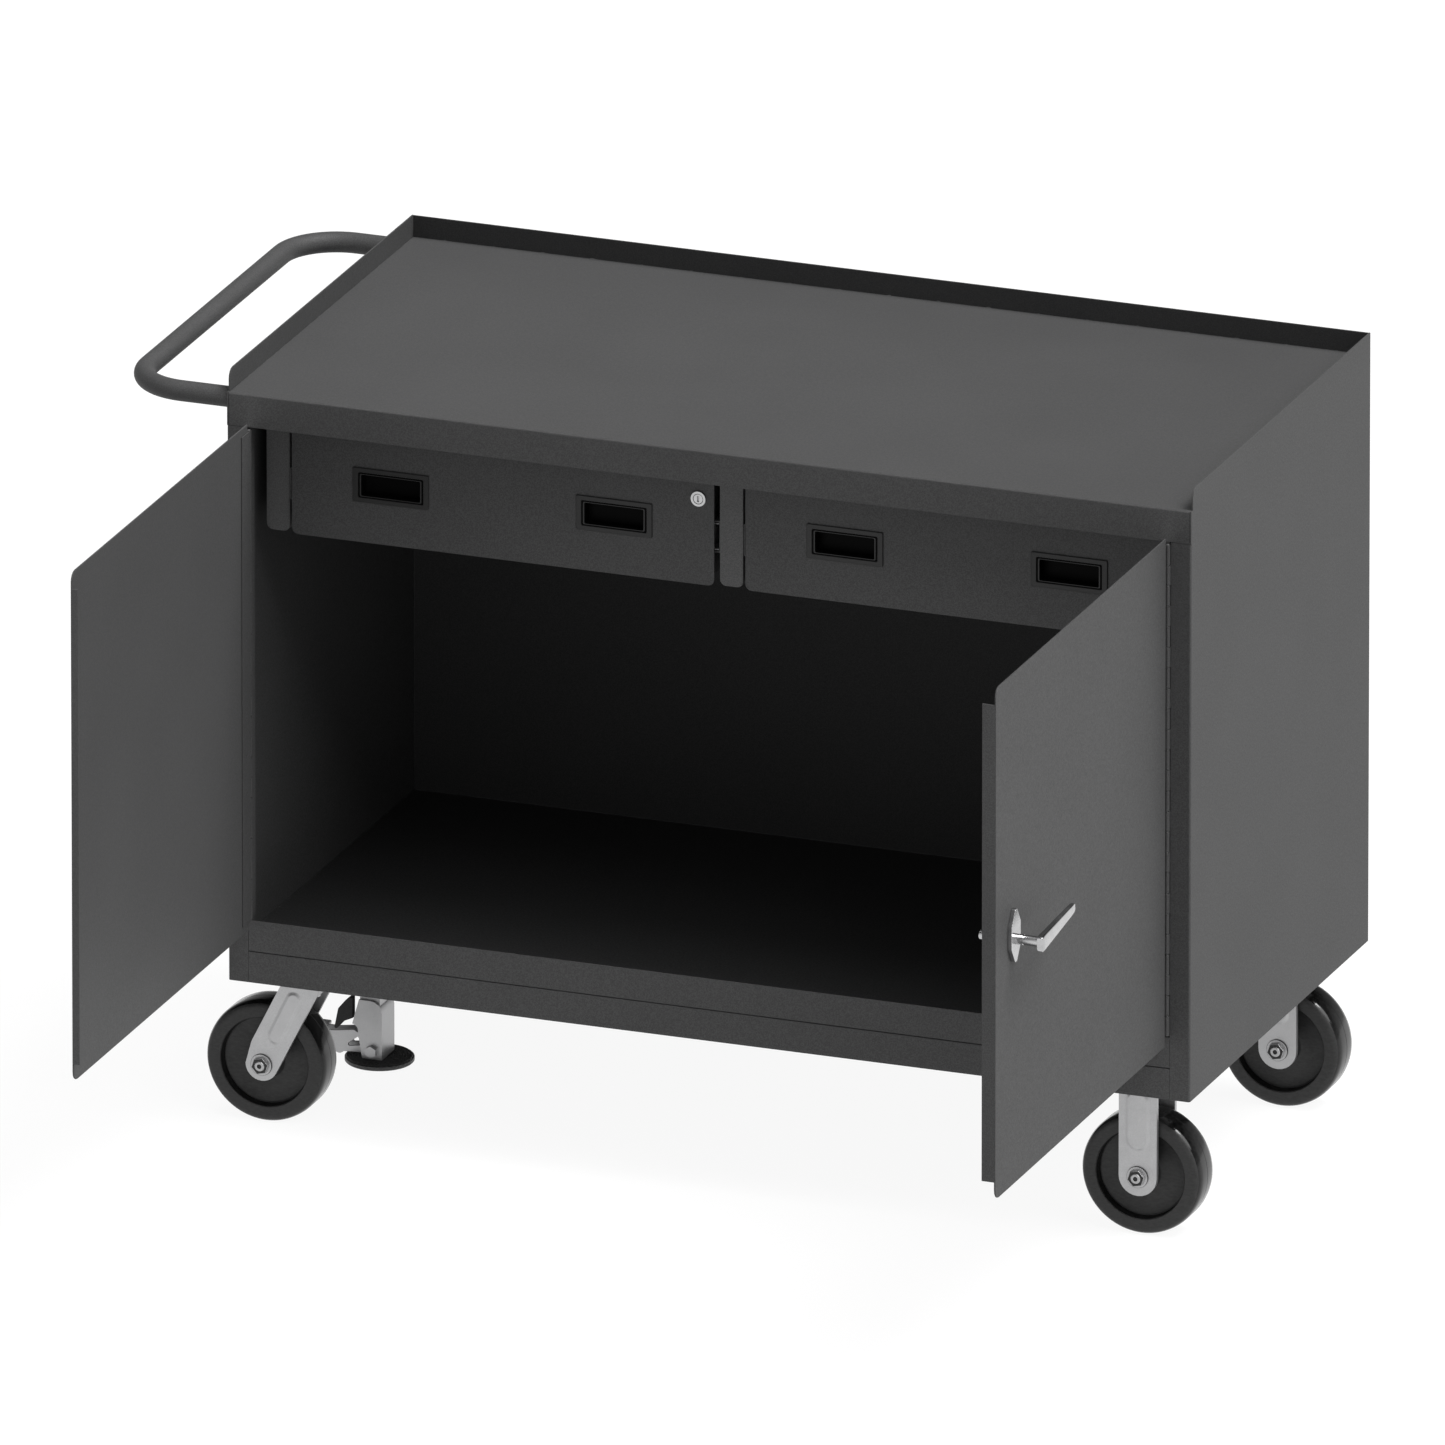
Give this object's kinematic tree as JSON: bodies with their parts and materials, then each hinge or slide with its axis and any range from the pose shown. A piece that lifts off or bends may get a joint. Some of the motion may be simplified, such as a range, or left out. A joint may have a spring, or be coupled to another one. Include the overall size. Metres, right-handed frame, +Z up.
{
  "type": "mobile workbench with drawers",
  "caption": "Mobile steel workbench: lipped worktop with push handle over drawers and a two-door cupboard, on casters with a floor lock.",
  "frame": {"origin": "middle of the overall footprint with the doors standing open, at floor level", "axes": "+X along the bench towards the end with the fixed casters, +Y from the door side to the back, +Z up"},
  "size_m": [1.383, 1.194, 0.959],
  "materials": {
    "shell_paint": "grey powder coat, satin, fine orange peel",
    "inner_paint": "grey powder coat, satin",
    "zinc_plate": "zinc plated steel, satin",
    "bright_chrome": "polished chrome plate",
    "pull_black": "black, satin",
    "phenolic": "black moulded phenolic, glossy tread",
    "pad_rubber": "black rubber, matt"
  },
  "bodies": {
    "frame": {"worktop": "shell_paint", "left_side_panel": "shell_paint", "right_side_panel": "shell_paint", "back_panel": "shell_paint", "floor_pan": "shell_paint", "door_sill_rail": "shell_paint", "left_caster_channel": "shell_paint", "right_caster_channel": "shell_paint", "push_handle": "shell_paint", "left_drawer_hanger": "inner_paint", "centre_drawer_hanger": "inner_paint", "right_drawer_hanger": "inner_paint", "drawer_lock_strike": "inner_paint", "left_hinge_frame_leaf": "inner_paint", "left_hinge_pin": "zinc_plate", "right_hinge_frame_leaf": "inner_paint", "right_hinge_pin": "zinc_plate", "front_swivel_plate": "zinc_plate", "rear_swivel_plate": "zinc_plate", "front_rigid_fork": "zinc_plate", "front_rigid_axle": "zinc_plate", "rear_rigid_fork": "zinc_plate", "rear_rigid_axle": "zinc_plate", "floor_lock_housing": "zinc_plate"},
    "left_door": {"left_door": "shell_paint", "left_hinge_door_leaf": "inner_paint"},
    "right_door": {"right_door": "shell_paint", "right_hinge_door_leaf": "inner_paint", "handle_escutcheon": "bright_chrome", "upper_rod_guide": "zinc_plate", "lower_rod_guide": "zinc_plate"},
    "lever": {"lever_handle": "bright_chrome", "latch_cam": "zinc_plate"},
    "upper_rod": {"upper_lock_rod": "zinc_plate"},
    "lower_rod": {"lower_lock_rod": "zinc_plate"},
    "left_drawer": {"left_drawer": "inner_paint", "left_drawer_left_pull": "pull_black", "left_drawer_right_pull": "pull_black", "left_drawer_left_runner": "zinc_plate", "left_drawer_right_runner": "zinc_plate", "drawer_lock_barrel": "bright_chrome"},
    "drawer_lock": {"drawer_lock_plug": "bright_chrome"},
    "right_drawer": {"right_drawer": "inner_paint", "right_drawer_left_pull": "pull_black", "right_drawer_right_pull": "pull_black", "right_drawer_left_runner": "zinc_plate", "right_drawer_right_runner": "zinc_plate"},
    "front_swivel": {"front_swivel_fork": "zinc_plate", "front_swivel_axle": "zinc_plate"},
    "rear_swivel": {"rear_swivel_fork": "zinc_plate", "rear_swivel_axle": "zinc_plate"},
    "front_swivel_wheel": {"front_swivel_wheel": "phenolic"},
    "rear_swivel_wheel": {"rear_swivel_wheel": "phenolic"},
    "front_rigid_wheel": {"front_rigid_wheel": "phenolic"},
    "rear_rigid_wheel": {"rear_rigid_wheel": "phenolic"},
    "floor_lock_foot": {"floor_lock_clevis": "zinc_plate", "floor_lock_pad": "pad_rubber"},
    "floor_lock_pedal": {"floor_lock_pedal": "zinc_plate"}
  },
  "joints": [
    {"name": "left_door_hinge", "type": "hinge", "parent": "frame", "child": "left_door", "pos_m": [-0.5161, -0.017, 0.58025], "axis": [0, 0, -1], "range_deg": [-90, 85]},
    {"name": "right_door_hinge", "type": "hinge", "parent": "frame", "child": "right_door", "pos_m": [0.6485, -0.017, 0.58025], "axis": [0, 0, 1], "range_deg": [-90, 85]},
    {"name": "lever_turn", "type": "hinge", "parent": "right_door", "child": "lever", "pos_m": [0.6485, -0.542, 0.5695], "axis": [-1, 0, 0], "range_deg": [0, 90]},
    {"name": "upper_rod_slide", "type": "slide", "parent": "right_door", "child": "upper_rod", "axis": [0, 0, 1], "range_m": [0, 0.02]},
    {"name": "lower_rod_slide", "type": "slide", "parent": "right_door", "child": "lower_rod", "axis": [0, 0, -1], "range_m": [0, 0.02]},
    {"name": "left_drawer_slide", "type": "slide", "parent": "frame", "child": "left_drawer", "axis": [0, -1, 0], "range_m": [0, 0.4]},
    {"name": "right_drawer_slide", "type": "slide", "parent": "frame", "child": "right_drawer", "axis": [0, -1, 0], "range_m": [0, 0.4]},
    {"name": "drawer_lock_turn", "type": "hinge", "parent": "left_drawer", "child": "drawer_lock", "pos_m": [0.02695, 0.058, 0.845], "axis": [0, 1, 0], "range_deg": [0, 90]},
    {"name": "front_caster_swivel", "type": "hinge", "parent": "frame", "child": "front_swivel", "pos_m": [-0.4668, 0.052, 0.1819], "axis": [0, 0, 1], "continuous": true},
    {"name": "front_swivel_wheel_spin", "type": "hinge", "parent": "front_swivel", "child": "front_swivel_wheel", "pos_m": [-0.5158, 0.052, 0.0762], "axis": [0, 1, 0], "continuous": true},
    {"name": "front_rigid_wheel_spin", "type": "hinge", "parent": "frame", "child": "front_rigid_wheel", "pos_m": [0.5992, 0.052, 0.0762], "axis": [0, 1, 0], "continuous": true},
    {"name": "rear_caster_swivel", "type": "hinge", "parent": "frame", "child": "rear_swivel", "pos_m": [-0.4668, 0.53, 0.1819], "axis": [0, 0, 1], "continuous": true},
    {"name": "rear_swivel_wheel_spin", "type": "hinge", "parent": "rear_swivel", "child": "rear_swivel_wheel", "pos_m": [-0.5158, 0.53, 0.0762], "axis": [0, 1, 0], "continuous": true},
    {"name": "rear_rigid_wheel_spin", "type": "hinge", "parent": "frame", "child": "rear_rigid_wheel", "pos_m": [0.5992, 0.53, 0.0762], "axis": [0, 1, 0], "continuous": true},
    {"name": "floor_lock_lift", "type": "slide", "parent": "frame", "child": "floor_lock_foot", "axis": [0, 0, 1], "range_m": [0, 0.015]},
    {"name": "floor_lock_pedal_turn", "type": "hinge", "parent": "floor_lock_foot", "child": "floor_lock_pedal", "pos_m": [-0.4688, 0.282, 0.018], "axis": [0, 1, 0], "range_deg": [0, 30]}
  ],
  "couplings": [
    {"joint": "upper_rod_slide", "follows": "lever_turn", "m_per_rad": 0.0127},
    {"joint": "lower_rod_slide", "follows": "lever_turn", "m_per_rad": 0.0127},
    {"joint": "floor_lock_pedal_turn", "follows": "floor_lock_lift", "rad_per_m": 34.9}
  ]
}
